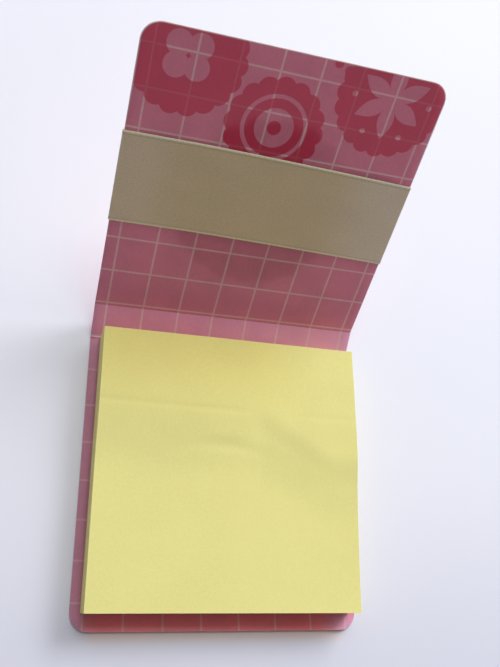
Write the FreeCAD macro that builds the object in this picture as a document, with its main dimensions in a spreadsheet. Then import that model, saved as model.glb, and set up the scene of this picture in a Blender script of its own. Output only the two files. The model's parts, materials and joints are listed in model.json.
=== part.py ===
import FreeCAD, Part
import enum
import math
import os

import Sketcher

# Sticky note pad in an opened folded card cover.
# Frame: +Z up, +X right, +Y towards the spine. The origin is the centre of the
# back cover's underside, the face that the pad lies on.

# Driving dimensions in millimetres and degrees: name, value, meaning.
SIZES = [
    ("card_width", 81.0, "width of the card cover along its folds"),
    ("panel_depth", 81.0, "front and back cover, from the fold to the free edge"),
    ("spine_width", 10.0, "distance between the two folds"),
    ("card_thickness", 0.4, "thickness of the cover card"),
    ("corner_radius", 5.0, "rounding of the covers' free corners"),
    ("fold_clearance", 0.1, "running gap beside each fold line"),
    ("spine_slope", 36.0, "slope of the spine as it stands open"),
    ("cover_slope", 56.0, "slope of the front cover as it stands open"),
    ("pad_width", 76.0, "side of the square notes, along the folds"),
    ("pad_depth", 76.0, "side of the square notes, across the folds"),
    ("leaf_thickness", 0.09, "thickness of one note"),
    ("leaves_per_bundle", 10.0, "notes that were cut and stacked together"),
    ("bundle_count", 10.0, "bundles in the pad"),
    ("bundle_stray", 0.07, "how far a bundle lies out of line"),
    ("bundle_turn", 137.5, "direction in which each next bundle strays"),
    ("pad_offset", 0.35, "sideways offset of the pad from the cover's middle"),
    ("pad_setback", 0.35, "from the lower fold to the pad's glued edge"),
    ("glue_thickness", 0.1, "thickness of the glue that holds the pad"),
    ("glue_depth", 15.0, "depth of the glued strip"),
    ("glue_inset", 1.0, "from the pad's edges to the glue"),
    ("ribbon_width", 25.7, "width of the ribbon"),
    ("ribbon_thickness", 0.25, "thickness of the ribbon"),
    ("ribbon_rise", 27.2, "from the upper fold to the ribbon's lower edge"),
    ("ribbon_ease", 0.05, "slack of the ribbon at the cover's side edges"),
    ("ribbon_overlap", 18.0, "overlap of the ribbon's glued ends"),
    ("selvedge_width", 0.9, "width of the ribbon's woven edges"),
    ("selvedge_height", 0.05, "how much thicker the woven edges are"),
    ("tag_radius", 25.4, "scalloped tag, from its centre to the crests"),
    ("tag_thickness", 0.35, "thickness of the scalloped tag"),
    ("tag_rise", 38.6, "from the upper fold to the tag's centre"),
    ("tag_offset", 0.0, "sideways offset of the tag from the cover's middle"),
    ("scallop_radius", 4.2, "radius of one scallop"),
    ("scallop_count", 20.0, "scallops round the tag"),
]


class Point(enum.IntEnum):
    """The points of a line or an arc, as a sketch counts them."""
    START = 1
    END = 2
    CENTRE = 3


class Axis(enum.IntEnum):
    """A sketch's own axes, as it counts them."""
    X = -1
    Y = -2


ORIGIN_POINT = (Axis.X, Point.START)

# Sizes at which outlines are first drawn, before their constraints take hold.
START_SIZE = 10.0
START_RADIUS = 1.0


def make_sizes(doc):
    """The spreadsheet that every sub-part is bound to."""
    sizes = doc.addObject("Spreadsheet::Sheet", "Sizes")
    for row, (alias, value, meaning) in enumerate(SIZES, start=1):
        sizes.set(f"A{row}", alias)
        sizes.set(f"B{row}", str(value))
        sizes.set(f"C{row}", meaning)
        sizes.setAlias(f"B{row}", alias)
    doc.recompute()
    return sizes


def origin_feature(body, role):
    """The origin plane or axis of a body, such as XY_Plane."""
    for feature in body.Origin.OriginFeatures:
        if feature.Role == role:
            return feature
    raise RuntimeError(f"{body.Label} has no {role}")


def new_body(doc, name):
    body = doc.addObject("PartDesign::Body", name)
    body.Label = name
    return body


def new_sketch(body, name, plane, shift=None):
    """A sketch on one of the body's own planes, shifted by bound distances."""
    sketch = body.newObject("Sketcher::SketchObject", name)
    sketch.AttachmentSupport = [(origin_feature(body, plane), "")]
    sketch.MapMode = "FlatFace"
    for axis, expression in (shift or {}).items():
        sketch.setExpression(f"AttachmentOffset.Base.{axis}", expression)
    return sketch


def bind_constraint(sketch, name, constraint, expression):
    index = sketch.addConstraint(constraint)
    sketch.renameConstraint(index, name)
    sketch.setExpression(f"Constraints.{name}", expression)


def add_rectangle(sketch, width, bottom, top, prefix=""):
    """A rectangle centred on the sketch's vertical axis, between two heights."""
    near, far = -START_SIZE, START_SIZE
    corners = [(near, near), (far, near), (far, far), (near, far)]
    corners = [FreeCAD.Vector(x, y, 0) for x, y in corners]
    lines = []
    for start, end in zip(corners, corners[1:] + corners[:1]):
        lines.append(sketch.addGeometry(Part.LineSegment(start, end), False))
    low_side, right_side, high_side, left_side = lines
    for first, second in zip(lines, lines[1:] + lines[:1]):
        sketch.addConstraint(Sketcher.Constraint("Coincident", first, Point.END, second, Point.START))
    sketch.addConstraint(Sketcher.Constraint("Horizontal", high_side))
    sketch.addConstraint(Sketcher.Constraint("Vertical", right_side))
    sketch.addConstraint(Sketcher.Constraint("Vertical", left_side))
    sketch.addConstraint(
        Sketcher.Constraint("Symmetric", low_side, Point.START, low_side, Point.END, Axis.Y))
    bind_constraint(
        sketch, f"{prefix}width",
        Sketcher.Constraint("DistanceX", low_side, Point.START, low_side, Point.END, far - near), width)
    bind_constraint(
        sketch, f"{prefix}bottom",
        Sketcher.Constraint("DistanceY", *ORIGIN_POINT, low_side, Point.START, near), bottom)
    bind_constraint(
        sketch, f"{prefix}top",
        Sketcher.Constraint("DistanceY", *ORIGIN_POINT, high_side, Point.START, far), top)


def add_round_ended_strip(sketch, radius, length, centred):
    """A strip with half-round ends along the sketch's horizontal axis.

    length is the distance between the centres of the ends. The first centre is
    the sketch's origin, or the strip is centred on it.
    """
    up = FreeCAD.Vector(0, 0, 1)
    right = FreeCAD.Vector(START_SIZE, 0, 0)
    left = -right if centred else FreeCAD.Vector(0, 0, 0)
    side = FreeCAD.Vector(0, START_RADIUS, 0)
    quarter = math.pi / 2
    left_end = Part.ArcOfCircle(
        Part.Circle(left, up, START_RADIUS), quarter, 3 * quarter)
    right_end = Part.ArcOfCircle(
        Part.Circle(right, up, START_RADIUS), -quarter, quarter)
    outline = [
        sketch.addGeometry(left_end, False),
        sketch.addGeometry(Part.LineSegment(left - side, right - side), False),
        sketch.addGeometry(right_end, False),
        sketch.addGeometry(Part.LineSegment(right + side, left + side), False),
    ]
    near, low_side, far, _ = outline
    for first, second in zip(outline, outline[1:] + outline[:1]):
        sketch.addConstraint(Sketcher.Constraint("Tangent", first, Point.END, second, Point.START))
    sketch.addConstraint(Sketcher.Constraint("Horizontal", low_side))
    sketch.addConstraint(Sketcher.Constraint("PointOnObject", far, Point.CENTRE, Axis.X))
    if centred:
        sketch.addConstraint(
            Sketcher.Constraint("Symmetric", near, Point.CENTRE, far, Point.CENTRE, *ORIGIN_POINT))
    else:
        sketch.addConstraint(
            Sketcher.Constraint("Coincident", near, Point.CENTRE, *ORIGIN_POINT))
    bind_constraint(
        sketch, "end_radius", Sketcher.Constraint("Radius", near, START_RADIUS), radius)
    bind_constraint(
        sketch, "centres",
        Sketcher.Constraint("DistanceX", near, Point.CENTRE, far, Point.CENTRE, (right - left).x), length)


def add_pad(body, sketch, name, length, midplane=False, reverse=False):
    pad = body.newObject("PartDesign::Pad", name)
    pad.Profile = sketch
    pad.setExpression("Length", length)
    pad.Midplane = midplane
    pad.Reversed = reverse
    return pad


def stand_on_upper_fold(body):
    """Places a body in the front cover's plane, its origin on the upper fold."""
    body.Placement.Rotation = FreeCAD.Rotation(FreeCAD.Vector(1, 0, 0), 1)
    body.setExpression("Placement.Rotation.Angle", "Sizes.cover_slope * 1 deg")
    body.setExpression(
        "Placement.Base.y",
        "Sizes.panel_depth / 2 + Sizes.spine_width * cos(Sizes.spine_slope * 1 deg)")
    body.setExpression(
        "Placement.Base.z",
        "Sizes.card_thickness / 2 + Sizes.spine_width * sin(Sizes.spine_slope * 1 deg)")


def make_cover_panel(doc, name):
    """A cover from just beside its fold to its free edge, with rounded corners."""
    body = new_body(doc, name)
    outline = new_sketch(body, f"{name}_outline", "XY_Plane")
    add_rectangle(outline, "Sizes.card_width",
                  "Sizes.card_thickness / 2 + Sizes.fold_clearance", "Sizes.panel_depth")
    panel = add_pad(body, outline, f"{name}_panel", "Sizes.card_thickness", midplane=True)
    doc.recompute()
    free_edge = panel.Shape.BoundBox.YMax
    corners = []
    for number, edge in enumerate(panel.Shape.Edges, start=1):
        upright = abs(edge.tangentAt(edge.FirstParameter).z) > 0.5
        if upright and abs(edge.CenterOfMass.y - free_edge) < 0.01:
            corners.append(f"Edge{number}")
    rounding = body.newObject("PartDesign::Fillet", f"{name}_corners")
    rounding.Base = (panel, corners)
    rounding.setExpression("Radius", "Sizes.corner_radius")
    return body


def make_back_cover(doc):
    """Lies flat, with its fold at the rear."""
    body = make_cover_panel(doc, "back_cover")
    body.Placement.Rotation = FreeCAD.Rotation(FreeCAD.Vector(0, 0, 1), 180)
    body.setExpression("Placement.Base.y", "Sizes.panel_depth / 2")
    body.setExpression("Placement.Base.z", "Sizes.card_thickness / 2")
    return body


def make_front_cover(doc):
    """Stands open, with its fold at the top of the spine."""
    body = make_cover_panel(doc, "front_cover")
    stand_on_upper_fold(body)
    return body


def make_spine(doc):
    """The strip between the folds; its round edges lie on the two fold lines."""
    body = new_body(doc, "spine")
    section = new_sketch(body, "spine_section", "YZ_Plane")
    add_round_ended_strip(section, "Sizes.card_thickness / 2", "Sizes.spine_width", centred=False)
    add_pad(body, section, "spine_strip", "Sizes.card_width", midplane=True)
    body.Placement.Rotation = FreeCAD.Rotation(FreeCAD.Vector(1, 0, 0), 1)
    body.setExpression("Placement.Rotation.Angle", "Sizes.spine_slope * 1 deg")
    body.setExpression("Placement.Base.y", "Sizes.panel_depth / 2")
    body.setExpression("Placement.Base.z", "Sizes.card_thickness / 2")
    return body


def make_adhesive_strip(doc):
    """The glue under the pad's rear edge."""
    strip = doc.addObject("Part::Box", "adhesive_strip")
    strip.Label = "adhesive_strip"
    strip.setExpression("Length", "Sizes.pad_width - 2 * Sizes.glue_inset")
    strip.setExpression("Width", "Sizes.glue_depth")
    strip.setExpression("Height", "Sizes.glue_thickness")
    strip.setExpression(
        "Placement.Base.x", "Sizes.pad_offset + Sizes.glue_inset - Sizes.pad_width / 2")
    strip.setExpression(
        "Placement.Base.y",
        "Sizes.panel_depth / 2 - Sizes.pad_setback - Sizes.glue_inset - Sizes.glue_depth")
    strip.setExpression("Placement.Base.z", "Sizes.card_thickness")
    return strip


def make_note_pad(doc, sizes):
    """The block of notes: bundles of leaves that lie a hair out of line.

    Each note sticks to the next, so neighbouring bundles share their faces.
    """
    bundles = []
    for bundle in range(round(sizes.bundle_count)):
        leaves = doc.addObject("Part::Box", f"leaf_bundle_{bundle:02d}")
        leaves.setExpression("Length", "Sizes.pad_width")
        leaves.setExpression("Width", "Sizes.pad_depth")
        leaves.setExpression("Height", "Sizes.leaf_thickness * Sizes.leaves_per_bundle")
        turn = f"({bundle} * Sizes.bundle_turn * 1 deg)"
        leaves.setExpression(
            "Placement.Base.x",
            f"Sizes.pad_offset - Sizes.pad_width / 2 + Sizes.bundle_stray * sin{turn}")
        leaves.setExpression(
            "Placement.Base.y",
            "Sizes.panel_depth / 2 - Sizes.pad_setback - Sizes.pad_depth"
            f" + Sizes.bundle_stray * cos{turn}")
        leaves.setExpression(
            "Placement.Base.z",
            "Sizes.card_thickness + Sizes.glue_thickness"
            f" + {bundle} * Sizes.leaf_thickness * Sizes.leaves_per_bundle")
        bundles.append(leaves)
    block = doc.addObject("Part::MultiFuse", "note_pad")
    block.Label = "note_pad"
    block.Shapes = bundles
    return block


def make_ribbon(doc):
    """A band wrapped round the front cover, its glued ends lapped outside."""
    body = new_body(doc, "ribbon")
    inner = "Sizes.card_thickness / 2"
    outer = f"{inner} + Sizes.ribbon_thickness"
    hole_width = "Sizes.card_width + 2 * Sizes.ribbon_ease"
    shift = {"z": "-Sizes.ribbon_rise"}

    loop = new_sketch(body, "ribbon_loop", "XZ_Plane", shift)
    add_round_ended_strip(loop, outer, f"{hole_width} - 2 * {inner}", centred=True)
    add_rectangle(loop, hole_width, f"-{inner}", inner, prefix="hole_")
    add_pad(body, loop, "ribbon_band", "Sizes.ribbon_width", reverse=True)

    lap = new_sketch(body, "ribbon_lap", "XZ_Plane", shift)
    add_rectangle(lap, "Sizes.ribbon_overlap",
                  f"-({outer}) - Sizes.ribbon_thickness", f"-({outer})")
    add_pad(body, lap, "ribbon_lapped_end", "Sizes.ribbon_width", reverse=True)

    edge = new_sketch(body, "ribbon_selvedge", "XZ_Plane", shift)
    add_round_ended_strip(edge, f"{outer} + Sizes.selvedge_height",
                          f"{hole_width} - 2 * {inner}", centred=True)
    add_rectangle(edge, hole_width, f"-{inner}", inner, prefix="hole_")
    selvedge = add_pad(body, edge, "lower_selvedge", "Sizes.selvedge_width", reverse=True)
    doc.recompute()

    both = body.newObject("PartDesign::LinearPattern", "both_selvedges")
    both.Originals = [selvedge]
    both.Direction = (edge, ["N_Axis"])
    both.Reversed = True
    both.setExpression("Length", "Sizes.ribbon_width - Sizes.selvedge_width")
    both.Occurrences = 2
    body.Tip = both
    stand_on_upper_fold(body)
    return body


def make_scalloped_tag(doc):
    """A scalloped disc of plain card, stuck over the ribbon's lapped ends."""
    body = new_body(doc, "scalloped_tag")
    seat = "Sizes.card_thickness / 2 + 2 * Sizes.ribbon_thickness"
    shift = {"x": "Sizes.tag_offset", "y": "Sizes.tag_rise", "z": f"-({seat})"}
    crest_circle = "Sizes.tag_radius - Sizes.scallop_radius"

    disc_outline = new_sketch(body, "tag_disc_outline", "XY_Plane", shift)
    up = FreeCAD.Vector(0, 0, 1)
    circle = Part.Circle(FreeCAD.Vector(0, 0, 0), up, START_SIZE)
    disc = disc_outline.addGeometry(circle, False)
    disc_outline.addConstraint(
        Sketcher.Constraint("Coincident", disc, Point.CENTRE, *ORIGIN_POINT))
    bind_constraint(
        disc_outline, "radius", Sketcher.Constraint("Radius", disc, START_SIZE), crest_circle)
    add_pad(body, disc_outline, "tag_disc", "Sizes.tag_thickness", reverse=True)

    scallop_outline = new_sketch(body, "scallop_outline", "XY_Plane", shift)
    circle = Part.Circle(FreeCAD.Vector(START_SIZE, 0, 0), up, START_RADIUS)
    scallop = scallop_outline.addGeometry(circle, False)
    scallop_outline.addConstraint(
        Sketcher.Constraint("PointOnObject", scallop, Point.CENTRE, Axis.X))
    bind_constraint(
        scallop_outline, "radius",
        Sketcher.Constraint("Radius", scallop, START_RADIUS), "Sizes.scallop_radius")
    bind_constraint(
        scallop_outline, "reach",
        Sketcher.Constraint("DistanceX", *ORIGIN_POINT, scallop, Point.CENTRE, START_SIZE),
        crest_circle)
    first = add_pad(body, scallop_outline, "first_scallop", "Sizes.tag_thickness", reverse=True)
    doc.recompute()

    scallops = body.newObject("PartDesign::PolarPattern", "scallops")
    scallops.Originals = [first]
    scallops.Axis = (scallop_outline, ["N_Axis"])
    scallops.Angle = 360
    scallops.setExpression("Occurrences", "Sizes.scallop_count")
    body.Tip = scallops
    stand_on_upper_fold(body)
    return body


def check_document(doc, subparts):
    """Stops if any object failed to build or any sub-part is no sound solid."""
    for item in doc.Objects:
        if "Invalid" in item.State or "Error" in item.State:
            raise RuntimeError(f"{item.Label} failed: {item.State}")
    for part in subparts:
        shape = part.Shape
        if shape.isNull() or not shape.isValid() or len(shape.Solids) != 1:
            raise RuntimeError(f"{part.Label} is no sound solid")


def main():
    doc = FreeCAD.newDocument("StickyNotePad")
    sizes = make_sizes(doc)
    subparts = [
        make_back_cover(doc),
        make_spine(doc),
        make_front_cover(doc),
        make_adhesive_strip(doc),
        make_note_pad(doc, sizes),
        make_ribbon(doc),
        make_scalloped_tag(doc),
    ]
    doc.recompute()
    check_document(doc, subparts)
    os.makedirs("parts", exist_ok=True)
    for part in subparts:
        part.Shape.exportStep(f"parts/{part.Label}.step")
        box = part.Shape.BoundBox
        print(f"{part.Label}: {part.Shape.Volume:.2f} mm3,"
              f" x {box.XMin:.2f} to {box.XMax:.2f}, y {box.YMin:.2f} to {box.YMax:.2f},"
              f" z {box.ZMin:.2f} to {box.ZMax:.2f}")


main()
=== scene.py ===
import json
import math

import bmesh
import bpy
from bpy.props import FloatProperty, FloatVectorProperty, IntProperty, PointerProperty
from mathutils import Euler, Matrix, Vector


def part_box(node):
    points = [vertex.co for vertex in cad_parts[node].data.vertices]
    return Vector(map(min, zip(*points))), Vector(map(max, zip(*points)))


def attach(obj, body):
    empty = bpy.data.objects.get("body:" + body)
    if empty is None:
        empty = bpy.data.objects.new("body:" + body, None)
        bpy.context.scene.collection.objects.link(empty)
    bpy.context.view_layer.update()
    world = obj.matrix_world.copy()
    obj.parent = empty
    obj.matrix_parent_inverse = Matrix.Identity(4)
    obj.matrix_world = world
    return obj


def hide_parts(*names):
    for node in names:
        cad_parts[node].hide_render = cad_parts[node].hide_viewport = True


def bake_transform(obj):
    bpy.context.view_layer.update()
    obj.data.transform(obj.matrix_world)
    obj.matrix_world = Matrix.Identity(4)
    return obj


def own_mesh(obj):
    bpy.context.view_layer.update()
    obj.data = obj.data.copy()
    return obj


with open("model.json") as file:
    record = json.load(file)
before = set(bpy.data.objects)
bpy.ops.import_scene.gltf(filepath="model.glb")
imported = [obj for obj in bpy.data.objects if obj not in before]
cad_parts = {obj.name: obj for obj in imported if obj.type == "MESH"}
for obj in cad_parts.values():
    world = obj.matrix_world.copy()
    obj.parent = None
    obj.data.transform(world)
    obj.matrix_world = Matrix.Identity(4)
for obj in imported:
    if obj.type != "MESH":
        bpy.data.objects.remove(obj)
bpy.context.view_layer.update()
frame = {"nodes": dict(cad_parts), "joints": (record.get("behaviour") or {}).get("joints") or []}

bl_info = {
    "name": "Sticky Note Pad",
    "version": (1, 0, 0),
    "blender": (4, 5, 0),
    "location": "View3D > Sidebar > Note Pad",
    "description": "Builds a sticky note pad in a folded card cover with a ribbon",
    "category": "Object",
}

# The solids' own box, and the sizes that follow from the frame, in metres.
JOINTS = {joint["name"]: joint for joint in frame["joints"]}
LOWER_FOLD = Vector(JOINTS["spine_fold"]["pos_m"])
UPPER_FOLD = Vector(JOINTS["cover_fold"]["pos_m"])
SPINE = UPPER_FOLD - LOWER_FOLD
BACK_LOW, BACK_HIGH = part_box("back_cover")
CARD_WIDTH = BACK_HIGH.x - BACK_LOW.x
CARD_THICKNESS = BACK_HIGH.z - BACK_LOW.z
PANEL_DEPTH = LOWER_FOLD.y - BACK_LOW.y
SPINE_WIDTH = SPINE.length
SPINE_SLOPE = math.atan2(SPINE.z, SPINE.y)
COVER_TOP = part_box("front_cover")[1].z
COVER_SLOPE = (
    math.asin((COVER_TOP - UPPER_FOLD.z) / math.hypot(PANEL_DEPTH, CARD_THICKNESS / 2))
    - math.atan(CARD_THICKNESS / 2 / PANEL_DEPTH))
PAD_LOW, PAD_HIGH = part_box("note_pad")
RIBBON_LOW, RIBBON_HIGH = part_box("ribbon")
MM = 0.001
SPINE_END = SPINE_WIDTH / MM
NOTE_SIDE = 76.0 * MM
SETTINGS_NAME = "note_pad_settings"


def colour_property(name, description, default):
    return FloatVectorProperty(
        name=name, description=description, subtype="COLOR", size=3,
        min=0.0, max=1.0, default=default)


def length_property(name, description, default):
    return FloatProperty(
        name=name, description=description, subtype="DISTANCE", unit="LENGTH",
        min=0.0, default=default, precision=5)


class NotePadCoverSettings(bpy.types.PropertyGroup):
    corner_radius: length_property("Corner radius", "Rounding of the free corners", 5.0 * MM)
    bend_radius: length_property("Bend radius", "Radius of the card at its folds", 0.4 * MM)
    score_depth: length_property("Score depth", "Depth of the scored line in a fold", 0.04 * MM)
    grid_pitch: length_property("Grid pitch", "Distance between the printed lines", 10.6 * MM)
    grid_line: length_property("Grid line", "Width of a printed line", 0.5 * MM)
    ground: colour_property("Ground", "Printed ground colour", (0.71, 0.21, 0.288))
    motif: colour_property("Motif", "Colour of the printed figures", (0.56, 0.012, 0.056))
    lines: colour_property("Lines", "Colour of the printed grid", (0.86, 0.66, 0.60))
    core: colour_property("Core", "Colour of the card's cut edge", (0.86, 0.82, 0.70))
    # Colour of the shade painted along the folds.
    fold: colour_property("Fold", "Colour of the dark lines at the folds", (0.16, 0.03, 0.045))
    # Painted sheen on the spine and painted highlight on a front corner.
    pale: colour_property("Pale", "Tint of the spine and a front corner", (0.90, 0.50, 0.70))
    # Painted shade, warm and red, over the front margin in front of the notes.
    front: colour_property("Front", "Tint of the front margin", (0.92, 0.175, 0.175))
    # Painted shade, bluish, over the left margin beside the notes.
    left: colour_property("Left", "Tint of the left margin", (0.42, 0.40, 0.56))


class NotePadPaperSettings(bpy.types.PropertyGroup):
    leaf_count: IntProperty(
        name="Leaves", description="Notes in the block under the top note", default=99, min=1)
    stray: length_property("Stray", "How far a note lies out of line", 0.05 * MM)
    paper: colour_property("Paper", "Colour of the notes", (0.78, 0.715, 0.26))
    # Painted shade, warmer and darker, towards the rear left of the notes beside the standing
    # cover.
    glued: colour_property("Glued", "Tint over the glued zone", (0.80, 0.66, 0.19))
    # Paler cut sides, partly painted light standing in for light bounced onto the sides of the
    # block.
    cut: colour_property("Cut", "Colour of the cut sides", (0.90, 0.82, 0.40))


class NotePadRibbonSettings(bpy.types.PropertyGroup):
    thickness: length_property("Thickness", "Thickness of the ribbon", 0.25 * MM)
    overlap: length_property("Overlap", "Overlap of the glued ends", 18.0 * MM)
    selvedge: length_property("Selvedge", "Width of the woven edges", 0.9 * MM)
    selvedge_height: length_property(
        "Selvedge height", "How much thicker the woven edges are", 0.03 * MM)
    gap: length_property("Gap", "Distance between the ribbon and the card", 0.06 * MM)
    satin: colour_property("Satin", "Colour of the ribbon", (0.80, 0.62, 0.38))
    # The woven edges are paler, and brightened further as a painted highlight.
    edge: colour_property("Edge", "Colour of the woven edges", (0.98, 0.96, 0.66))
    # Painted light: the ribbon paler towards its ends inside the cover.
    ends: colour_property("Ends", "Tint near the side edges of the cover", (0.96, 0.82, 0.68))


class NotePadTagSettings(bpy.types.PropertyGroup):
    card: colour_property("Tag", "Colour of the scalloped tag", (0.80, 0.75, 0.64))
    glue: colour_property("Glue", "Colour of the dried glue", (0.80, 0.78, 0.66))


class NotePadStageSettings(bpy.types.PropertyGroup):
    floor: colour_property("Floor", "Colour of the floor", (0.80, 0.795, 0.83))
    # Painted shade: the floor darker towards the front.
    floor_front_shade: colour_property("Front", "Colour of the floor in front", (0.66, 0.65, 0.72))
    # Painted shadow, warm, on the floor along the card's front edge.
    warm_painted_shadow: colour_property("Glow", "Tint of the floor next to the card", (0.92, 0.60, 0.36))
    daylight: colour_property("Daylight", "Colour of all the light", (0.92, 0.94, 1.0))
    window_power: FloatProperty(
        name="Window", description="Power of the soft light from behind", default=16.6, min=0.0)
    side_power: FloatProperty(
        name="Side", description="Power of the soft light from the right", default=6.5, min=0.0)
    ceiling_power: FloatProperty(
        name="Ceiling", description="Power of the soft light overhead", default=9.0, min=0.0)
    sky: FloatProperty(
        name="Sky", description="Level of the light from all round", default=1.0, min=0.0)
    backdrop: FloatProperty(
        name="Backdrop", description="Level of the backdrop", default=0.93, min=0.0)


class NotePadSettings(bpy.types.PropertyGroup):
    cover: PointerProperty(type=NotePadCoverSettings)
    paper: PointerProperty(type=NotePadPaperSettings)
    ribbon: PointerProperty(type=NotePadRibbonSettings)
    tag: PointerProperty(type=NotePadTagSettings)
    stage: PointerProperty(type=NotePadStageSettings)


class Field:
    """A number that varies over a surface; arithmetic on it adds Math nodes."""

    def __init__(self, tree, socket):
        self.tree = tree
        self.socket = socket

    def operate(self, operation, *others, clamp=False):
        node = self.tree.nodes.new("ShaderNodeMath")
        node.operation = operation
        node.use_clamp = clamp
        for slot, value in zip(node.inputs, (self, *others)):
            if isinstance(value, Field):
                self.tree.links.new(value.socket, slot)
            else:
                slot.default_value = value
        return Field(self.tree, node.outputs[0])

    def __add__(self, other):
        return self.operate("ADD", other)

    def __sub__(self, other):
        return self.operate("SUBTRACT", other)

    def __mul__(self, other):
        return self.operate("MULTIPLY", other)

    def __truediv__(self, other):
        return self.operate("DIVIDE", other)

    def size(self):
        return self.operate("ABSOLUTE")

    def root(self):
        return self.operate("SQRT")

    def wrapped(self, low, high):
        return self.operate("WRAP", high, low)

    def sine(self):
        return self.operate("SINE")

    def cosine(self):
        return self.operate("COSINE")

    def angle_with(self, other):
        return self.operate("ARCTAN2", other)

    def highest(self, other):
        return self.operate("MAXIMUM", other)

    def ramp(self, low, high, low_value=0.0, high_value=1.0):
        """Runs smoothly from one value at low to the other at high."""
        node = self.tree.nodes.new("ShaderNodeMapRange")
        node.interpolation_type = "SMOOTHSTEP"
        self.tree.links.new(self.socket, node.inputs["Value"])
        node.inputs["From Min"].default_value = low
        node.inputs["From Max"].default_value = high
        node.inputs["To Min"].default_value = low_value
        node.inputs["To Max"].default_value = high_value
        return Field(self.tree, node.outputs["Result"])

    def inside(self, limit, soft):
        """1 where the field is under the limit, 0 where it is over it."""
        return self.ramp(limit - soft, limit + soft, 1.0, 0.0)


def length_of(x, y):
    return (x * x + y * y).root()


def new_material(name):
    material = bpy.data.materials.new(name)
    material.use_nodes = True
    tree = material.node_tree
    return material, tree, tree.nodes["Principled BSDF"]


def split(tree, vector):
    """The three numbers of a vector as fields."""
    parts = tree.nodes.new("ShaderNodeSeparateXYZ")
    tree.links.new(vector, parts.inputs[0])
    return [Field(tree, output) for output in parts.outputs]


def attribute_fields(tree, name):
    """The three numbers of a point attribute as fields."""
    source = tree.nodes.new("ShaderNodeAttribute")
    source.attribute_name = name
    return split(tree, source.outputs["Vector"])


def combined(x, y, z=0.0):
    node = x.tree.nodes.new("ShaderNodeCombineXYZ")
    for slot, value in zip(node.inputs, (x, y, z)):
        if isinstance(value, Field):
            x.tree.links.new(value.socket, slot)
        else:
            slot.default_value = value
    return node.outputs[0]


def noise(tree, place, scale, detail=2.0):
    """Noise from 0 to 1 about a place, with the given scale."""
    node = tree.nodes.new("ShaderNodeTexNoise")
    node.inputs["Scale"].default_value = scale
    node.inputs["Detail"].default_value = detail
    if place is not None:
        tree.links.new(place, node.inputs["Vector"])
    return Field(tree, node.outputs["Fac"])


def object_place(tree):
    return tree.nodes.new("ShaderNodeTexCoord").outputs["Object"]


def mixed(factor, first, second):
    """Mixes two colours, given as values or sockets, by a field."""
    node = factor.tree.nodes.new("ShaderNodeMix")
    node.data_type = "RGBA"
    factor.tree.links.new(factor.socket, node.inputs[0])
    for slot, value in ((node.inputs[6], first), (node.inputs[7], second)):
        if isinstance(value, bpy.types.NodeSocket):
            factor.tree.links.new(value, slot)
        else:
            slot.default_value = (*value, 1.0)
    return node.outputs[2]


def shaded(factor, colour):
    """A colour multiplied by a field."""
    node = factor.tree.nodes.new("ShaderNodeVectorMath")
    node.operation = "SCALE"
    if isinstance(colour, bpy.types.NodeSocket):
        factor.tree.links.new(colour, node.inputs[0])
    else:
        node.inputs[0].default_value = colour
    factor.tree.links.new(factor.socket, node.inputs["Scale"])
    return node.outputs[0]


def add_bump(shader, height, distance, strength=1.0):
    """Raises the surface by a field times a distance in metres."""
    tree = height.tree
    node = tree.nodes.new("ShaderNodeBump")
    node.inputs["Strength"].default_value = strength
    node.inputs["Distance"].default_value = distance
    tree.links.new(height.socket, node.inputs["Height"])
    tree.links.new(node.outputs[0], shader.inputs["Normal"])


def let_light_through(tree, shader, share, colour):
    """Lets a share of the light pass through the surface, tinted by a colour."""
    through = tree.nodes.new("ShaderNodeBsdfTranslucent")
    if isinstance(colour, bpy.types.NodeSocket):
        tree.links.new(colour, through.inputs["Color"])
    else:
        through.inputs["Color"].default_value = (*colour, 1.0)
    blend = tree.nodes.new("ShaderNodeMixShader")
    blend.inputs[0].default_value = share
    tree.links.new(shader.outputs[0], blend.inputs[1])
    tree.links.new(through.outputs[0], blend.inputs[2])
    tree.links.new(blend.outputs[0], tree.nodes["Material Output"].inputs["Surface"])


def scalloped_disc(x, y, centre, radius, scallops, scallop, soft=0.12):
    """1 inside a disc whose rim is a ring of scallops; sizes in millimetres."""
    dx, dy = x - centre[0], y - centre[1]
    half_step = math.pi / scallops
    ring = radius - scallop
    turn = dy.angle_with(dx).wrapped(-half_step, half_step)
    across = turn.sine() * ring
    rim = turn.cosine() * ring + (across * across * -1.0 + scallop * scallop).root()
    return (length_of(dx, dy) - rim).inside(0.0, soft)


def ring_of_spots(x, y, centre, reach, spots, spot, soft=0.12, turn_by=0.0):
    """1 inside each of a ring of round spots; sizes in millimetres."""
    dx, dy = x - centre[0], y - centre[1]
    half_step = math.pi / spots
    turn = (dy.angle_with(dx) + turn_by).wrapped(-half_step, half_step)
    distance = length_of(dx, dy)
    along, across = turn.cosine() * distance - reach, turn.sine() * distance
    return length_of(along, across).inside(spot, soft)


def ring(x, y, centre, radius, width, soft=0.12):
    """1 on a ring line; sizes in millimetres."""
    distance = length_of(x - centre[0], y - centre[1])
    return (distance - radius).size().inside(width / 2, soft)


def leaves(x, y, centre, count, reach, width, soft=0.12, turn_by=0.0):
    """1 inside a star of pointed leaves; sizes in millimetres."""
    dx, dy = x - centre[0], y - centre[1]
    half_step = math.pi / count
    turn = (dy.angle_with(dx) + turn_by).wrapped(-half_step, half_step)
    distance = length_of(dx, dy)
    along, across = turn.cosine() * distance, (turn.sine() * distance).size()
    shape = (along * (math.pi / reach)).sine() * (width / 2)
    within = along.inside(reach, soft)
    return (across - shape).inside(0.0, soft) * within


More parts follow.
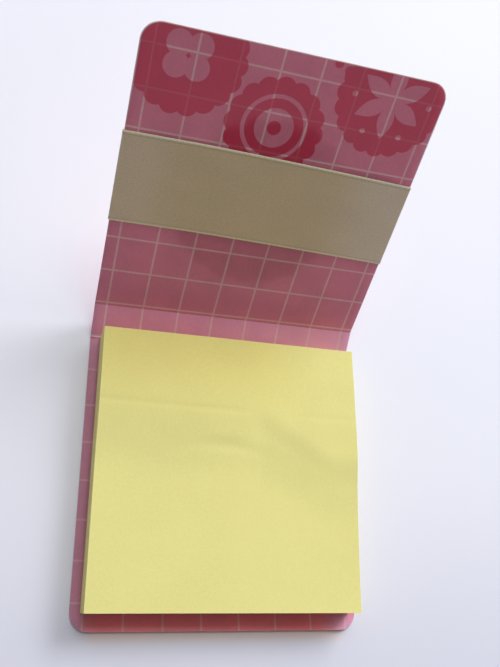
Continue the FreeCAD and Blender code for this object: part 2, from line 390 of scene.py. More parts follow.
def printed_figures(x, y):
    """The generic printed design: how much figure ink covers each point."""
    clover = (12.0, 74.5)
    button = (37.5, 61.0)
    star = (66.5, 74.0)
    first = scalloped_disc(x, y, clover, 15.0, 18, 2.9)
    petals = ring_of_spots(x, y, clover, 3.7, 4, 3.2, turn_by=math.pi / 4)
    first = first * (petals * -1.0 + 1.0)
    second = scalloped_disc(x, y, button, 13.5, 16, 2.9)
    lace = ring(x, y, button, 8.4, 1.1).highest(ring(x, y, button, 3.6, 3.4))
    second = second * (lace * -1.0 + 1.0)
    third = scalloped_disc(x, y, star, 15.5, 20, 2.7)
    rays = leaves(x, y, star, 6, 10.5, 4.4, turn_by=math.pi / 6)
    pips = ring_of_spots(x, y, star, 10.6, 6, 0.75)
    third = third * (rays.highest(pips) * -1.0 + 1.0)
    dots = ring_of_spots(x, y, (52.5, 83.5), 4.4, 8, 1.2)
    return first.highest(second).highest(third).highest(dots)


def printed_grid(x, y, settings):
    """1 on the printed lines, whose rows run a little askew on the front cover."""
    pitch, width = settings.grid_pitch / MM, settings.grid_line / MM
    first_line, first_row, soft = 3.45, 0.3, 0.13
    skew = (x * -0.0075 + 0.65) * y.ramp(SPINE_END, SPINE_END + 16.0)
    upright = (x - first_line).wrapped(-pitch / 2, pitch / 2).size()
    level = (y - skew - first_row).wrapped(-pitch / 2, pitch / 2).size()
    return upright.inside(width / 2, soft).highest(level.inside(width / 2, soft))


def ground_with_painted_light(x, y, settings):
    """The printed ground with light and shade painted on it: a painted sheen on the spine,
    brighter to the right, a painted highlight on the front right corner, and painted shade on the
    front and left margins round the notes.
    """
    # Painted shade over the front margin, where the notes shade it.
    front = y.ramp(-77.5, -75.0, 0.85, 0.0) * x.ramp(70.0, 78.0, 1.0, 0.0)
    # Painted shade over the left margin, where the notes shade it.
    left = x.inside(5.0, 3.0) * y.ramp(-2.0, 0.0, 0.3, 0.0)
    # Painted sheen along the spine, stronger towards the right.
    spine = (y - SPINE_END / 2).size().inside(SPINE_END / 2 - 0.15, 0.15)
    spine = spine * x.ramp(0.0, 81.0, 0.32, 0.62)
    # Painted highlight on the front right corner.
    corner = x.ramp(66.0, 80.0) * y.ramp(-81.0, -74.0, 0.7, 0.0)
    ground = mixed(front * x.ramp(2.0, 5.0), settings.ground, settings.front)
    ground = mixed(left, ground, settings.left)
    return mixed(spine.highest(corner), ground, settings.pale)


def fold_marks(tree, x, y):
    """Painted shade as dark lines along both folds, and the cracked print on the lower one."""
    flecks = noise(tree, combined(x * 0.6, y * 5.0), 1.6, 3.0)
    # Painted shade: a dark line below the lower fold and a flecked one under the upper fold.
    lower = (y + 0.62).size().inside(0.16, 0.1) * 0.75
    upper = (y - SPINE_END + 0.1).size().inside(0.09, 0.08)
    upper = upper * flecks.ramp(0.42, 0.66, 0.3, 0.95)
    crack = (y + 0.12).size().inside(0.13, 0.08) * flecks.ramp(0.3, 0.5)
    return lower.highest(upper), crack * x.ramp(3.0, 14.0, 1.0, 0.25) * 0.9


def distance_past_rim(x, y, settings):
    """How far a point lies outside the card's rounded outline, negative inside it."""
    radius = settings.corner_radius / MM
    half_width = CARD_WIDTH / MM / 2
    half_length = SPINE_END / 2 + PANEL_DEPTH / MM
    beyond_side = ((x - half_width).size() - (half_width - radius)).highest(0.0)
    beyond_end = ((y - SPINE_END / 2).size() - (half_length - radius)).highest(0.0)
    return length_of(beyond_side, beyond_end) - radius


def printed_card(settings):
    """Matt printed card: grid and figures inside, plain outside, pale cut edge.
    Places on the flat sheet are in millimetres, with y from the lower fold."""
    material, tree, shader = new_material("printed_card")
    x, y, side = attribute_fields(tree, "sheet")
    place = combined(x, y, side)
    cloud = noise(tree, place, 0.12, 3.0).ramp(0.3, 0.7, 0.95, 1.05)
    mottle = noise(tree, combined(x * 1.6, y * 0.9, side), 0.9, 3.0)
    mottle = mottle.ramp(0.3, 0.7, 0.965, 1.035)
    fibre = noise(tree, place, 5.0, 4.0)
    paper = cloud * mottle * fibre.ramp(0.2, 0.8, 0.97, 1.03)

    figure = printed_figures(x, y - SPINE_END)
    # Grid lines fainter under the figures, as printed, and toned down on the back panel as painted
    # shade on its margins.
    line_strength = figure.ramp(0.0, 1.0, 0.76, 0.1) * y.ramp(-4.0, 0.0, 0.6, 1.0)
    # The ground carries painted light and shade on the spine, a corner and the margins.
    ink = mixed(figure, ground_with_painted_light(x, y, settings), settings.motif)
    ink = mixed(printed_grid(x, y, settings) * line_strength, ink, settings.lines)
    ink = shaded(paper, ink)
    # Dark lines of painted shade along the folds, and the cracked print.
    dark, crack = fold_marks(tree, x, y)
    ink = mixed(dark, ink, settings.fold)
    ink = mixed(crack, ink, settings.core)
    # The cream core colour painted along the flap's top rim: partly the real cut edge, partly a
    # painted highlight where light catches it.
    core_rim_and_highlight = distance_past_rim(x, y, settings).ramp(-0.42, -0.18) * y.ramp(60.0, 75.0) * 0.8
    ink = mixed(core_rim_and_highlight, ink, settings.core)

    outside = shaded(paper, settings.ground)
    faces = mixed(side.ramp(-0.2, 0.2), outside, ink)
    cut = side.size().inside(0.8, 0.08)
    tree.links.new(mixed(cut, faces, settings.core), shader.inputs["Base Color"])
    shader.inputs["Roughness"].default_value = 0.42
    shader.inputs["Specular IOR Level"].default_value = 0.42
    add_bump(shader, fibre + mottle, 0.01 * MM, 0.5)
    let_light_through(tree, shader, 0.2, (1.0, 0.72, 0.80))
    return material


def note_paper(settings):
    """Uncoated yellow paper with a faint tooth, paler where the notes are cut, partly as painted
    light, and with painted shade towards the rear left.
    """
    material, tree, shader = new_material("note_paper")
    place = object_place(tree)
    centre = (PAD_LOW + PAD_HIGH) / 2
    x, y = [(part - middle) / MM for part, middle in zip(split(tree, place), centre.xy)]
    cloud = noise(tree, place, 60.0, 2.0).ramp(0.3, 0.7, 0.985, 1.015)
    grain = noise(tree, place, 1600.0, 2.0).ramp(0.3, 0.7, 0.982, 1.018)
    tooth = noise(tree, place, 4200.0, 3.0)
    # Painted shade towards the rear left of the notes, where the standing cover shades them.
    glued = y.ramp(6.0, 36.0, 0.0, 0.6) * x.ramp(0.0, 34.0, 1.0, 0.1)
    colour = mixed(glued, settings.paper, settings.glued)
    half_side = NOTE_SIDE / MM / 2
    # Paler cut sides: partly the cut paper, partly painted bounce light.
    cut = x.size().highest(y.size()).ramp(half_side - 0.065, half_side - 0.055)
    colour = mixed(cut, colour, settings.cut)
    colour = shaded(cloud * grain * tooth.ramp(0.2, 0.8, 0.985, 1.015), colour)
    tree.links.new(colour, shader.inputs["Base Color"])
    shader.inputs["Roughness"].default_value = 0.85
    shader.inputs["Specular IOR Level"].default_value = 0.2
    add_bump(shader, tooth, 0.01 * MM, 0.5)
    return material


def satin_ribbon(settings, width):
    """Satin with lengthwise threads and paler corded edges, with a painted highlight on the edges,
    a painted shade line beside them and painted light towards the ends; width in millimetres.
    """
    material, tree, shader = new_material("satin_ribbon")
    along, across, _ = attribute_fields(tree, "weave")
    threads = noise(tree, combined(along * 0.12, across * 1.0), 6.0, 2.0).ramp(0.3, 0.7)
    grain = noise(tree, combined(along, across * 1.3), 1.7, 3.0).ramp(0.3, 0.7)
    broad = noise(tree, combined(along * 0.06, across * 0.12), 1.0, 2.0).ramp(0.3, 0.7)
    twill = (along * 9.0 + across * 9.0).sine() * (along * 9.0 - across * 9.0).sine()
    weave = threads * 0.07 + grain * 0.13 + broad * 0.05 + twill * 0.03 + 0.88
    from_edge = (across - width / 2).size() * -1.0 + width / 2
    selvedge = settings.selvedge / MM
    # Woven edges, paler, with a painted highlight.
    edge = from_edge.inside(selvedge * 0.5, 0.1)
    # Painted shade in a thin line where the woven edge meets the satin.
    groove_shade = (from_edge - selvedge).size().inside(0.12, 0.1)
    cord = (along * 4.2 + across * 2.0).sine().ramp(-1.0, 1.0, 0.96, 1.03)
    # Painted light, paler towards both ends of the inner run.
    paler = along.ramp(105.0, 128.0, 0.0, 0.62) * along.inside(134.0, 1.0)
    paler = paler.highest(along.ramp(56.0, 70.0, 0.28, 0.0) * along.ramp(48.0, 50.0))
    satin = mixed(paler, settings.satin, settings.ends)
    satin = shaded(weave, satin)
    satin = shaded(groove_shade.ramp(0.0, 1.0, 1.0, 0.76), satin)
    colour = mixed(edge, satin, shaded(cord, settings.edge))
    tree.links.new(colour, shader.inputs["Base Color"])
    shader.inputs["Roughness"].default_value = 0.42
    shader.inputs["Specular IOR Level"].default_value = 0.4
    shader.inputs["Sheen Weight"].default_value = 0.1
    shader.inputs["Sheen Roughness"].default_value = 0.4
    add_bump(shader, threads * 0.5 + grain + twill * 0.4, 0.02 * MM, 0.5)
    let_light_through(tree, shader, 0.15, (1.0, 0.93, 0.82))
    return material


def tag_card(settings):
    """Plain pale card for the tag."""
    material, tree, shader = new_material("tag_card")
    place = object_place(tree)
    cloud = noise(tree, place, 90.0, 3.0).ramp(0.3, 0.7, 0.96, 1.03)
    fibre = noise(tree, place, 2600.0, 4.0)
    colour = shaded(cloud * fibre.ramp(0.2, 0.8, 0.97, 1.03), settings.card)
    tree.links.new(colour, shader.inputs["Base Color"])
    shader.inputs["Roughness"].default_value = 0.7
    shader.inputs["Specular IOR Level"].default_value = 0.3
    add_bump(shader, fibre, 0.02 * MM, 0.6)
    return material


def dried_glue(settings):
    """Cloudy dried glue."""
    material, tree, shader = new_material("dried_glue")
    cloud = noise(tree, object_place(tree), 400.0, 2.0)
    colour = shaded(cloud.ramp(0.3, 0.7, 0.92, 1.04), settings.glue)
    tree.links.new(colour, shader.inputs["Base Color"])
    shader.inputs["Roughness"].default_value = 0.35
    add_bump(shader, cloud, 0.03 * MM, 0.5)
    return material


def pale_floor(settings):
    """The pale surface that the pad lies on, with painted shade towards the front and a warm
    painted shadow along the card's front edge.
    """
    material, tree, shader = new_material("pale_floor")
    place = object_place(tree)
    x, y, _ = split(tree, place)
    cloud = noise(tree, place, 6.0, 2.0)
    # Painted shade, darker towards the front.
    colour = mixed(y.ramp(-0.075, 0.02), settings.floor_front_shade, settings.floor)
    # Painted shadow, warm, along the card's front edge.
    warm_painted_shadow = (y + 0.039).size().ramp(0.001, 0.006, 0.5, 0.0) * x.size().ramp(0.033, 0.039, 1.0, 0.0)
    colour = mixed(warm_painted_shadow, colour, settings.warm_painted_shadow)
    colour = shaded(cloud.ramp(0.3, 0.7, 0.985, 1.015), colour)
    tree.links.new(colour, shader.inputs["Base Color"])
    shader.inputs["Roughness"].default_value = 0.9
    shader.inputs["Specular IOR Level"].default_value = 0.1
    return material


def bend_point(fold, slope, turn, radius, share):
    """Where the card's middle lies in a fold, a share of the way round it."""
    reach = radius * math.tan(turn / 2)
    start = fold - Vector((0, math.cos(slope), math.sin(slope))) * reach
    here = slope + turn * share
    across = math.sin(here) - math.sin(slope)
    up = math.cos(slope) - math.cos(here)
    return start + Vector((0, across, up)) * radius, here


def sheet_point(x, v, off, radius):
    """A point of the folded card: x along the folds, v across them from the
    lower fold, and off its middle towards the side that faces the notes."""
    folds = (
        (LOWER_FOLD, 0.0, 0.0, SPINE_SLOPE),
        (UPPER_FOLD, SPINE_WIDTH, SPINE_SLOPE, COVER_SLOPE - SPINE_SLOPE),
    )
    for fold, place, slope, turn in folds:
        reach = radius * math.tan(turn / 2)
        if abs(v - place) <= reach:
            centre, here = bend_point(fold, slope, turn, radius, (v - place + reach) / (2 * reach))
            break
    else:
        if v < 0:
            fold, place, here = LOWER_FOLD, 0.0, 0.0
        elif v < SPINE_WIDTH:
            fold, place, here = LOWER_FOLD, 0.0, SPINE_SLOPE
        else:
            fold, place, here = UPPER_FOLD, SPINE_WIDTH, COVER_SLOPE
        centre = fold + Vector((0, math.cos(here), math.sin(here))) * (v - place)
    inward = Vector((0, -math.sin(here), math.cos(here)))
    lifted = max(0.0, -v - PANEL_DEPTH + 5.5 * MM) / (5.5 * MM)
    lift = Vector((0, 0, 0.7 * MM * lifted ** 2))
    return Vector((x, 0, 0)) + centre + inward * off + lift


def steps(start, end, count):
    return [start + (end - start) * index / count for index in range(count + 1)]


def link_mesh(name, bm, material):
    bmesh.ops.recalc_face_normals(bm, faces=bm.faces)
    mesh = bpy.data.meshes.new(name)
    bm.to_mesh(mesh)
    bm.free()
    mesh.materials.append(material)
    piece = bpy.data.objects.new(name, mesh)
    bpy.context.scene.collection.objects.link(piece)
    return piece


def shade_smooth(piece, angle):
    """Smooth faces, with a crease wherever two meet at more than the angle."""
    mesh = piece.data
    mesh.shade_smooth()
    mesh.set_sharp_from_angle(angle=math.radians(angle))


def score_offset(v, settings):
    """How deep the scored lines press into the card at v."""
    depth = 0.0
    for place in (0.0, SPINE_WIDTH):
        share = (v - place) / (0.18 * MM)
        depth += settings.score_depth * math.exp(-share * share)
    return depth


def card_piece(name, material, settings, seam, fold_at, direction):
    """One half of the folded card, from the middle of the spine to a free edge."""
    radius, half_width = settings.corner_radius, CARD_WIDTH / 2
    free_edge = fold_at + direction * PANEL_DEPTH
    corner = free_edge - direction * radius
    near_fold = [fold_at + direction * step * MM for step in
                 (-2.0, -1.2, -0.8, -0.55, -0.4, -0.3, -0.2, -0.1, 0.0,
                  0.1, 0.2, 0.3, 0.4, 0.55, 0.8, 1.2, 2.0)]
    flat_start = fold_at + direction * 2.0 * MM
    straight = [seam] + near_fold + steps(flat_start, corner, 24)[1:]
    rows = [(v, 0.0) for v in straight]
    rows += [(corner, math.radians(turn)) for turn in (15, 30, 45, 60, 75, 90)]
    columns = steps(-1.0, 1.0, 36)
    round_off = 0.06 * MM
    half_card = CARD_THICKNESS / 2

    bm = bmesh.new()
    sheet = bm.verts.layers.float_vector.new("sheet")

    def add_vertex(row, column, inset, off, side):
        v, turn = rows[row]
        reach = radius - inset
        v = v + direction * reach * math.sin(turn)
        x = columns[column] * (half_width - radius + reach * math.cos(turn))
        place = sheet_point(x, v, off - score_offset(v, settings), settings.bend_radius)
        vertex = bm.verts.new(place)
        vertex[sheet] = ((x + half_width) / MM, v / MM, side)
        return vertex

    last_row, last_column = len(rows) - 1, len(columns) - 1
    inner, outer = [
        [[add_vertex(row, column, round_off, off, side)
          for column in range(last_column + 1)] for row in range(last_row + 1)]
        for off, side in ((half_card, 1.0), (-half_card, -1.0))]
    border = [(row, 0) for row in range(last_row + 1)]
    border += [(last_row, column) for column in range(1, last_column)]
    border += [(row, last_column) for row in range(last_row, -1, -1)]
    shoulder = half_card - round_off
    rims = [
        [add_vertex(row, column, 0.0, off, side) for row, column in border]
        for off, side in ((shoulder, 0.6), (-shoulder, -0.6))]
    bands = [[inner[row][column] for row, column in border], *rims,
             [outer[row][column] for row, column in border]]
    for layer in (inner, outer):
        for low, high in zip(layer, layer[1:]):
            for column in range(last_column):
                bm.faces.new((low[column], low[column + 1], high[column + 1], high[column]))
    for low, high in zip(bands, bands[1:]):
        for index in range(len(border) - 1):
            bm.faces.new((low[index], low[index + 1], high[index + 1], high[index]))
    for column in range(last_column):
        bm.faces.new((inner[0][column], inner[0][column + 1],
                      outer[0][column + 1], outer[0][column]))
    for end in (0, -1):
        bm.faces.new([band[end] for band in bands])
    piece = link_mesh(name, bm, material)
    shade_smooth(piece, 50)
    return piece


class NOTEPAD_OT_cover(bpy.types.Operator):
    """Builds the folded card cover as two halves that meet in the spine."""
    bl_idname = "notepad.cover"
    bl_label = "Card cover"

    def execute(self, context):
        settings = context.scene.note_pad_settings.cover
        material = printed_card(settings)
        seam = SPINE_WIDTH / 2
        lower = card_piece("cover_back_half", material, settings, seam, 0.0, -1)
        upper = card_piece("cover_front_half", material, settings, seam, SPINE_WIDTH, 1)
        reach = 0.5 * MM
        for piece, fold, first, second, bodies in (
                (lower, LOWER_FOLD, 0.0, SPINE_SLOPE, ("base", "spine")),
                (upper, UPPER_FOLD, SPINE_SLOPE, COVER_SLOPE, ("spine", "front"))):
            start = fold - Vector((0, math.cos(first), math.sin(first))) * reach
            end = fold + Vector((0, math.cos(second), math.sin(second))) * reach
            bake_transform(piece)
        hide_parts("back_cover", "spine")
        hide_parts("front_cover", "spine")
        return {"FINISHED"}


def group_input(tree, name, kind, value):
    item = tree.interface.new_socket(name, in_out="INPUT", socket_type=kind)
    item.default_value = value
    return item.identifier


def leaf_stack_tree(material):
    """A node tree that stacks thin notes, each a hair out of line."""
    tree = bpy.data.node_groups.new("leaf_stack", "GeometryNodeTree")
    tree.interface.new_socket("Geometry", in_out="OUTPUT", socket_type="NodeSocketGeometry")
    kinds = (
        ("Width", "NodeSocketFloat", 0.076), ("Depth", "NodeSocketFloat", 0.076),
        ("Height", "NodeSocketFloat", 0.009), ("Leaves", "NodeSocketInt", 99),
        ("Stray", "NodeSocketFloat", 0.00005), ("Seed", "NodeSocketInt", 3))
    names = {name: group_input(tree, name, kind, value) for name, kind, value in kinds}
    nodes, links = tree.nodes, tree.links
    given = nodes.new("NodeGroupInput").outputs
    leaf = Field(tree, given["Height"]) / Field(tree, given["Leaves"])
    spine = nodes.new("GeometryNodeMeshLine")
    spine.mode = "OFFSET"
    links.new(given["Leaves"], spine.inputs["Count"])
    links.new(combined(leaf * 0.0, leaf * 0.0, leaf), spine.inputs["Offset"])
    note = nodes.new("GeometryNodeMeshCube")
    size = combined(Field(tree, given["Width"]), Field(tree, given["Depth"]), leaf * 0.93)
    links.new(size, note.inputs["Size"])
    note.inputs["Vertices X"].default_value = 5
    note.inputs["Vertices Y"].default_value = 20
    stray = Field(tree, given["Stray"])
    shift = nodes.new("FunctionNodeRandomValue")
    shift.data_type = "FLOAT_VECTOR"
    links.new(combined(stray * -1.0, stray * -1.0), shift.inputs["Min"])
    links.new(combined(stray, stray), shift.inputs["Max"])
    links.new(given["Seed"], shift.inputs["Seed"])
    place = nodes.new("GeometryNodeSetPosition")
    links.new(spine.outputs["Mesh"], place.inputs["Geometry"])
    links.new(shift.outputs["Value"], place.inputs["Offset"])
    stack = nodes.new("GeometryNodeInstanceOnPoints")
    links.new(place.outputs["Geometry"], stack.inputs["Points"])
    links.new(note.outputs["Mesh"], stack.inputs["Instance"])
    real = nodes.new("GeometryNodeRealizeInstances")
    links.new(stack.outputs["Instances"], real.inputs["Geometry"])
    paint = nodes.new("GeometryNodeSetMaterial")
    paint.inputs["Material"].default_value = material
    links.new(real.outputs["Geometry"], paint.inputs["Geometry"])
    end = nodes.new("NodeGroupOutput")
    links.new(paint.outputs["Geometry"], end.inputs["Geometry"])
    return tree, names


def built_by_nodes(name, tree, names, values, material, centre):
    """Runs a node tree with its inputs set, and keeps the result as a plain mesh."""
    seed_mesh = bpy.data.meshes.new(name + "_source")
    source = bpy.data.objects.new(name + "_source", seed_mesh)
    bpy.context.scene.collection.objects.link(source)
    modifier = source.modifiers.new("nodes", "NODES")
    modifier.node_group = tree
    for key, value in values.items():
        modifier[names[key]] = value
    evaluated = source.evaluated_get(bpy.context.evaluated_depsgraph_get())
    mesh = bpy.data.meshes.new_from_object(evaluated)
    mesh.name = name
    bpy.data.objects.remove(source)
    bpy.data.meshes.remove(seed_mesh)
    mesh.transform(Matrix.Translation(centre))
    if not mesh.materials:
        mesh.materials.append(material)
    piece = bpy.data.objects.new(name, mesh)
    bpy.context.scene.collection.objects.link(piece)
    return piece


def between(value, table):
    """Straight-line interpolation in a table of pairs."""
    for (low, first), (high, second) in zip(table, table[1:]):
        if value <= high:
            share = min(1.0, max(0.0, (value - low) / (high - low)))
            return first + (second - first) * share
    return table[-1][1]


def smooth_between(value, table):
    """As between, but with a smooth run through each step."""
    for (low, first), (high, second) in zip(table, table[1:]):
        if value <= high:
            return first + (second - first) * smooth((value - low) / (high - low))
    return table[-1][1]


def block_swell(depth):
    """How much higher the glued zone makes the block, in millimetres."""
    return 1.2 * (1 - smooth((depth - 17) / 20))


# The fold line of the top note, and how much its free right edge stands up
# along it: (from the note's middle or from its glued edge, value), in millimetres.
FOLD_LINE = ((-38, 22), (8, 23), (31, 36), (38, 37.5))
RIGHT_LIFT = ((0, 0.5), (13, 0.9), (27, 1.3), (31, 1.25), (43, 0.5), (52, 0.45), (76, 0.0))


def note_height(x, depth):
    """How far the top note stands up at a place on it, all in millimetres."""
    right = max(0.0, x / 38)
    fold = between(x, FOLD_LINE)
    slanted = smooth((x - 3) / 8)
    band = 0.36 * slanted * (1 - 0.6 * smooth((x - 22) / 12))
    height = 0.85 * (1 - smooth((depth - fold + 2) / 21))
    height += band * (1 - smooth((depth - fold + 4) / 8))
    height += 0.45 * (1 - slanted) * (1 - smooth((depth - 16) / 22))
    rise = smooth_between(depth, RIGHT_LIFT)
    height += rise * right ** 2.4
    crease = math.exp(-((depth - 21.4 - 0.015 * x) / 0.7) ** 2)
    height -= 0.1 * crease * (1 - smooth((x - 1) / 5) + 0.6 * smooth((x - 18) / 5))
    across_dip = math.exp(-((x + 2) / 10) ** 2)
    dip_place = 31.5 + 0.09 * x + 0.01 * x * x
    height -= 0.2 * across_dip * math.exp(-((depth - dip_place) / 1.8) ** 2)
    front_corner = max(0.0, (depth - 62) / 14) ** 2 * right ** 2
    return height + 0.02 + 0.25 * front_corner


class NOTEPAD_OT_notes(bpy.types.Operator):
    """Builds the block of notes and the top note that lifts a little."""
    bl_idname = "notepad.notes"
    bl_label = "Notes"

    def execute(self, context):
        settings = context.scene.note_pad_settings.paper
        material = note_paper(settings)
        size = PAD_HIGH - PAD_LOW
        side = NOTE_SIDE
        centre = (PAD_LOW + PAD_HIGH) / 2
        leaf = size.z / (settings.leaf_count + 1)
        tree, names = leaf_stack_tree(material)
        values = {
            "Width": side, "Depth": side, "Height": leaf * settings.leaf_count,
            "Leaves": settings.leaf_count, "Stray": settings.stray, "Seed": 3}
        first_leaf = Vector((centre.x, centre.y, PAD_LOW.z + leaf / 2))
        block = built_by_nodes("note_block", tree, names, values, material, first_leaf)
        height = PAD_HIGH.z - PAD_LOW.z
        for vertex in block.data.vertices:
            depth = (centre.y + side / 2 - vertex.co.y) / MM
            share = (vertex.co.z - PAD_LOW.z) / height
            vertex.co.z += share * block_swell(depth) * MM
        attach(block, "base")
        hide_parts("note_pad")
        top = self.top_note(settings, material, side, centre, leaf)
        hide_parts("note_pad")
        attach(top, "base")
        for piece, keep in ((block, 0.885), (top, 0.79)):
            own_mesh(piece)
        return {"FINISHED"}

    def top_note(self, settings, material, side, centre, leaf):
        count = 110
        bm = bmesh.new()
        layers = []
        for off in (0.0, leaf * 0.93):
            layer = []
            for row in range(count + 1):
                y = side * row / count
                line = []
                for column in range(count + 1):
                    x = side * (column / count - 0.5)
                    height = note_height(x / MM, y / MM) * MM
                    line.append(bm.verts.new((
                        centre.x + x, centre.y + side / 2 - y,
                        PAD_HIGH.z - leaf + height + off)))
                layer.append(line)
            layers.append(layer)
        low, high = layers
        for layer in layers:
            for first, second in zip(layer, layer[1:]):
                for column in range(count):
                    bm.faces.new((first[column], first[column + 1],
                                  second[column + 1], second[column]))
        border = [(0, column) for column in range(count)]
        border += [(row, count) for row in range(count)]
        border += [(count, column) for column in range(count, 0, -1)]
        border += [(row, 0) for row in range(count, 0, -1)]
        for (row, column), (next_row, next_column) in zip(border, border[1:] + border[:1]):
            bm.faces.new((low[row][column], low[next_row][next_column],
                          high[next_row][next_column], high[row][column]))
        piece = link_mesh("top_note", bm, material)
        shade_smooth(piece, 40)
        return piece


def smooth(share):
    share = min(1.0, max(0.0, share))
    return share * share * (3 - 2 * share)


def inner_rise(x):
    """How far the ribbon inside the cover lies above its mean height at x."""
    share = max(0.0, x + CARD_WIDTH / 2 - 18 * MM) / (62 * MM)
    return 0.54 * MM - 1.69 * MM * share ** 1.4


def outer_rise(x, edge):
    """The same for the ribbon outside, which lies higher between its folds."""
    near_fold = 1 - smooth((edge - abs(x)) / (9 * MM))
    level = (1.1 - 0.45 * x / edge) * MM
    return level + (inner_rise(math.copysign(edge, x)) - level) * near_fold


def ribbon_path(settings):
    """The ribbon's way round the cover: (x, off, rise), with off measured from
    the card's middle towards the notes, and rise its shift up the cover."""
    middle = CARD_THICKNESS / 2 + settings.gap + settings.thickness / 2
    edge = CARD_WIDTH / 2 - CARD_THICKNESS / 2 + 0.05 * MM
    lap = settings.overlap / 2
    path = []
    under = -middle
    for x in steps(lap, -edge, 24):
        path.append((x, under, outer_rise(x, edge)))
    for turn in range(1, 12):
        angle = math.radians(-90 - 180 * turn / 12)
        path.append((-edge + middle * math.cos(angle), middle * math.sin(angle),
                     inner_rise(-edge)))
    for x in steps(-edge, edge, 40):
        path.append((x, middle, inner_rise(x)))
    for turn in range(1, 12):
        angle = math.radians(90 - 180 * turn / 12)
        path.append((edge + middle * math.cos(angle), middle * math.sin(angle),
                     inner_rise(edge)))
    for x in steps(edge, lap + 2 * MM, 20):
        path.append((x, under, outer_rise(x, edge)))
    lapped = under - settings.thickness - 0.01 * MM
    for x in steps(lap, -lap, 8):
        path.append((x, lapped, outer_rise(x, edge)))
    return path


class NOTEPAD_OT_ribbon(bpy.types.Operator):
    """Builds the ribbon that is wrapped round the front cover."""
    bl_idname = "notepad.ribbon"
    bl_label = "Ribbon"

    def execute(self, context):
        settings = context.scene.note_pad_settings.ribbon
        cover = context.scene.note_pad_settings.cover
        slant = settings.thickness + settings.selvedge_height + CARD_THICKNESS / 2
        outside = CARD_THICKNESS / 2 + 2 * settings.thickness
        sine, cosine = math.sin(COVER_SLOPE), math.cos(COVER_SLOPE)
        bottom = SPINE_WIDTH + (RIBBON_LOW.z - UPPER_FOLD.z + outside * cosine) / sine
        top = SPINE_WIDTH + (RIBBON_HIGH.z - UPPER_FOLD.z - slant * cosine) / sine
        width = top - bottom
        material = satin_ribbon(settings, width / MM)
        path = ribbon_path(settings)
        places = [0.0, 0.15, 0.45, 0.75, 0.9, 1.1, 1.5, 3.0, 5.0, 7.5, 10.0]
        across = places + [width / MM / 2] + [width / MM - place for place in reversed(places)]
        lengths = [0.0]
        for (x0, off0, _), (x1, off1, _) in zip(path, path[1:]):
            lengths.append(lengths[-1] + math.hypot(x1 - x0, off1 - off0))
        bm = bmesh.new()
        weave = bm.verts.layers.float_vector.new("weave")
        layers = []
        for face in (1.0, -1.0):
            layer = []
            for index, (x, off, rise) in enumerate(path):
                before = path[max(0, index - 1)]
                after = path[min(len(path) - 1, index + 1)]
                tangent = Vector((after[0] - before[0], after[1] - before[1])).normalized()
                normal = Vector((-tangent.y, tangent.x))
                line = []
                for place in across:
                    from_edge = min(place, width / MM - place)
                    cord = settings.selvedge_height if 0.0 < from_edge < 0.9 else 0.0
                    thinner = 0.5 if from_edge == 0.0 else 1.0
                    half = face * (settings.thickness / 2 * thinner + cord)
                    point = sheet_point(
                        x + normal.x * half, bottom + rise + place * MM,
                        off + normal.y * half, cover.bend_radius)
                    vertex = bm.verts.new(point)
                    vertex[weave] = (lengths[index] / MM, place, face)
                    line.append(vertex)
                layer.append(line)
            layers.append(layer)
        upper, under = layers
        last = len(across) - 1
        for layer in layers:
            for first, second in zip(layer, layer[1:]):
                for column in range(last):
                    bm.faces.new((first[column], first[column + 1],
                                  second[column + 1], second[column]))
        for column in (0, last):
            for row in range(len(path) - 1):
                bm.faces.new((upper[row][column], upper[row + 1][column],
                              under[row + 1][column], under[row][column]))
        for row in (0, len(path) - 1):
            for column in range(last):
                bm.faces.new((upper[row][column], upper[row][column + 1],
                              under[row][column + 1], under[row][column]))
        piece = link_mesh("satin_ribbon", bm, material)
        shade_smooth(piece, 45)
        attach(piece, "front")
        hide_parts("ribbon")
        return {"FINISHED"}


class NOTEPAD_OT_tag(bpy.types.Operator):
    """Gives the scalloped tag and the glue strip their finish."""
    bl_idname = "notepad.tag"
    bl_label = "Tag and glue"

    def execute(self, context):
        settings = context.scene.note_pad_settings.tag
        for node, material in (("scalloped_tag", tag_card(settings)),
                               ("adhesive_strip", dried_glue(settings))):
            slots = frame["nodes"][node].data.materials
            slots.clear()
            slots.append(material)
        return {"FINISHED"}


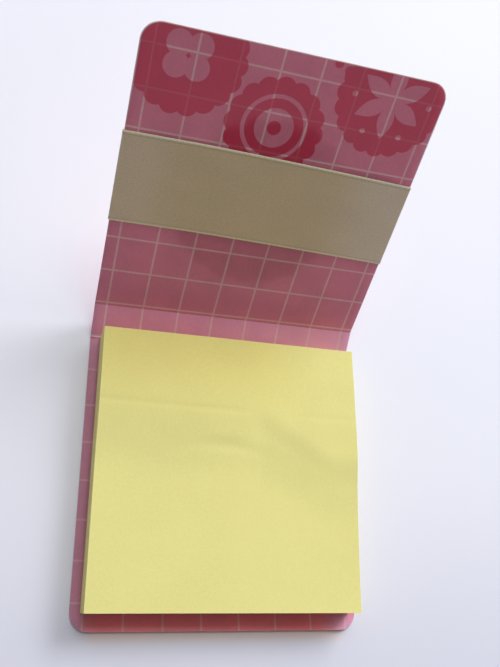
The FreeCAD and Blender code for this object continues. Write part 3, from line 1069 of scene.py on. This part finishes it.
class NOTEPAD_OT_stage(bpy.types.Operator):
    """Adds the floor, the light and the camera."""
    bl_idname = "notepad.stage"
    bl_label = "Stage"

    def execute(self, context):
        settings = context.scene.note_pad_settings.stage
        self.add_floor(settings)
        self.add_world(context.scene, settings)
        for name, power, azimuth, elevation, width, height in (
                ("window", settings.window_power, 53, 38, 0.7, 0.6),
                ("side", settings.side_power, 30, 30, 0.5, 0.8),
                ("ceiling", settings.ceiling_power, 78, 62, 0.7, 0.6)):
            lamp = self.add_softbox(name, power, azimuth, elevation)
            lamp.data.size = width
            lamp.data.size_y = height
            lamp.data.color = settings.daylight
        self.add_camera(context.scene)
        context.scene.view_settings.view_transform = "Standard"
        return {"FINISHED"}

    def add_floor(self, settings):
        bm = bmesh.new()
        bmesh.ops.create_grid(bm, x_segments=8, y_segments=8, size=2.0)
        floor = link_mesh("floor", bm, pale_floor(settings))
        floor.data.transform(Matrix.Translation((0, 0, -0.05 * MM)))
        if floor.data.polygons[0].normal.z < 0:
            floor.data.flip_normals()

    def add_world(self, scene, settings):
        """Light from all round, brighter overhead and behind than in front."""
        world = bpy.data.worlds.new("studio")
        scene.world = world
        world.use_nodes = True
        tree = world.node_tree
        background = tree.nodes["Background"]
        direction = tree.nodes.new("ShaderNodeTexCoord").outputs["Generated"]
        _, back, up = split(tree, direction)
        behind = (back * 0.94 + up * 0.342).highest(0.0)
        above = up.highest(0.0)
        level = behind * behind * behind * 1.0 + above * above * above * 0.48 + 0.015
        level = level * settings.sky
        path = tree.nodes.new("ShaderNodeLightPath").outputs
        seen, mirrored, passed = [Field(tree, path[name]) for name in (
            "Is Camera Ray", "Is Glossy Ray", "Is Transmission Ray")]
        shown = seen.highest(mirrored).highest(passed)
        level = level * (shown * -1.0 + 1.0) + shown * settings.backdrop
        tree.links.new(level.socket, background.inputs["Strength"])
        background.inputs["Color"].default_value = (*settings.daylight, 1.0)

    def add_softbox(self, name, power, azimuth, elevation):
        """A soft light that faces the pad; azimuth runs from right to behind."""
        distance = 1.7
        light = bpy.data.lights.new(name, "AREA")
        light.shape = "RECTANGLE"
        light.energy = power
        lamp = bpy.data.objects.new(name, light)
        bpy.context.scene.collection.objects.link(lamp)
        level = math.cos(math.radians(elevation))
        place = distance * Vector((
            level * math.cos(math.radians(azimuth)),
            level * math.sin(math.radians(azimuth)),
            math.sin(math.radians(elevation))))
        lamp.location = place
        lamp.rotation_euler = place.to_track_quat("Z", "Y").to_euler()
        return lamp

    def add_camera(self, scene):
        data = bpy.data.cameras.new("camera")
        data.lens = 40.525
        data.sensor_width = 36.0
        data.clip_start = 0.01
        camera = bpy.data.objects.new("camera", data)
        bpy.context.scene.collection.objects.link(camera)
        camera.location = (-0.058663, -0.032901, 0.212440)
        camera.rotation_euler = Euler([math.radians(a) for a in (19.5972, -17.6291, 0.1435)])
        scene.camera = camera


class NOTEPAD_PT_panel(bpy.types.Panel):
    """Lists the pieces of the note pad."""
    bl_idname = "NOTEPAD_PT_panel"
    bl_label = "Note Pad"
    bl_space_type = "VIEW_3D"
    bl_region_type = "UI"
    bl_category = "Note Pad"

    def draw(self, context):
        for operator in OPERATORS:
            self.layout.operator(operator.bl_idname)
        settings = context.scene.note_pad_settings
        for group in (settings.cover, settings.paper, settings.ribbon,
                      settings.tag, settings.stage):
            box = self.layout.box()
            for name in group.__annotations__:
                box.prop(group, name)


OPERATORS = (
    NOTEPAD_OT_cover,
    NOTEPAD_OT_notes,
    NOTEPAD_OT_ribbon,
    NOTEPAD_OT_tag,
    NOTEPAD_OT_stage,
)
CLASSES = (
    NotePadCoverSettings,
    NotePadPaperSettings,
    NotePadRibbonSettings,
    NotePadTagSettings,
    NotePadStageSettings,
    NotePadSettings,
    *OPERATORS,
    NOTEPAD_PT_panel,
)


def register():
    for cls in CLASSES:
        bpy.utils.register_class(cls)
    setattr(bpy.types.Scene, SETTINGS_NAME, PointerProperty(type=NotePadSettings))


def unregister():
    delattr(bpy.types.Scene, SETTINGS_NAME)
    for cls in reversed(CLASSES):
        bpy.utils.unregister_class(cls)


def main():
    register()
    bpy.ops.notepad.cover()
    bpy.ops.notepad.notes()
    bpy.ops.notepad.ribbon()
    bpy.ops.notepad.tag()
    bpy.ops.notepad.stage()


if __name__ == "__main__":
    main()
